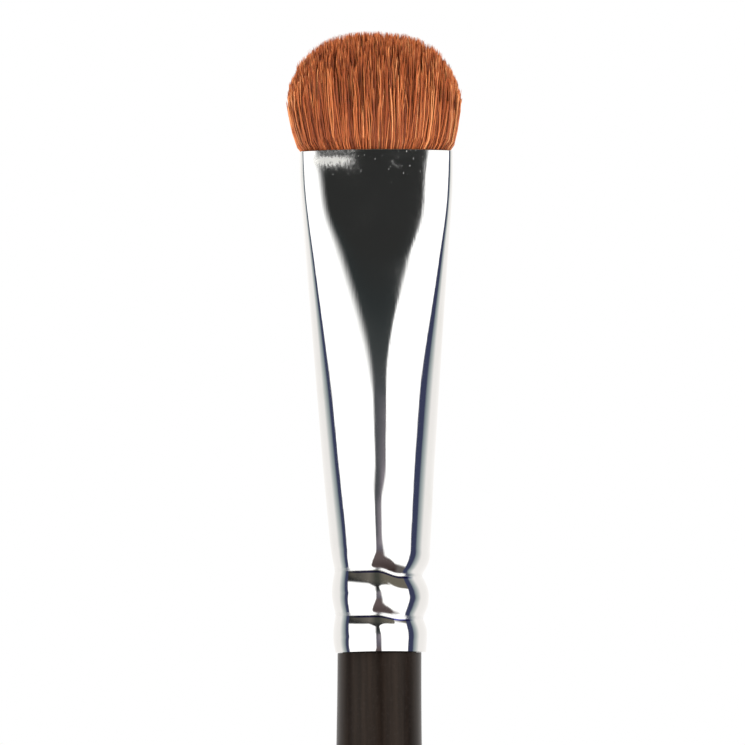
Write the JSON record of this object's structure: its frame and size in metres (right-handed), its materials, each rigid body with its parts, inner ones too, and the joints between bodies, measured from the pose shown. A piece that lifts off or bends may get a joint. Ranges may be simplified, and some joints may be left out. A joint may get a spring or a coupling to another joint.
{
  "type": "eyeshadow brush",
  "caption": "Flat cosmetic brush: domed tuft of hair, polished ferrule flattened at the mouth and crimped twice, slim round lacquered wooden handle.",
  "frame": {"origin": "centre of the cylindrical grip stretch in the handle's belly, on the brush's long axis", "axes": "+Z along the brush from the tail to the hair, +X across the wide side of the flattened mouth, +Y through its thickness"},
  "size_m": [0.0138, 0.008, 0.175],
  "materials": {
    "hair": "fine soft hair, chestnut",
    "thread": "twisted cotton",
    "resin": "set epoxy",
    "plated_metal": "polished nickel plate",
    "lacquered_wood": "dark brown satin lacquer"
  },
  "bodies": {
    "root": {"hair_tuft": "hair", "root_bundle": "hair", "root_binding": "thread", "root_glue": "resin", "ferrule": "plated_metal", "tenon_glue": "resin", "handle": "lacquered_wood"}
  },
  "joints": []
}
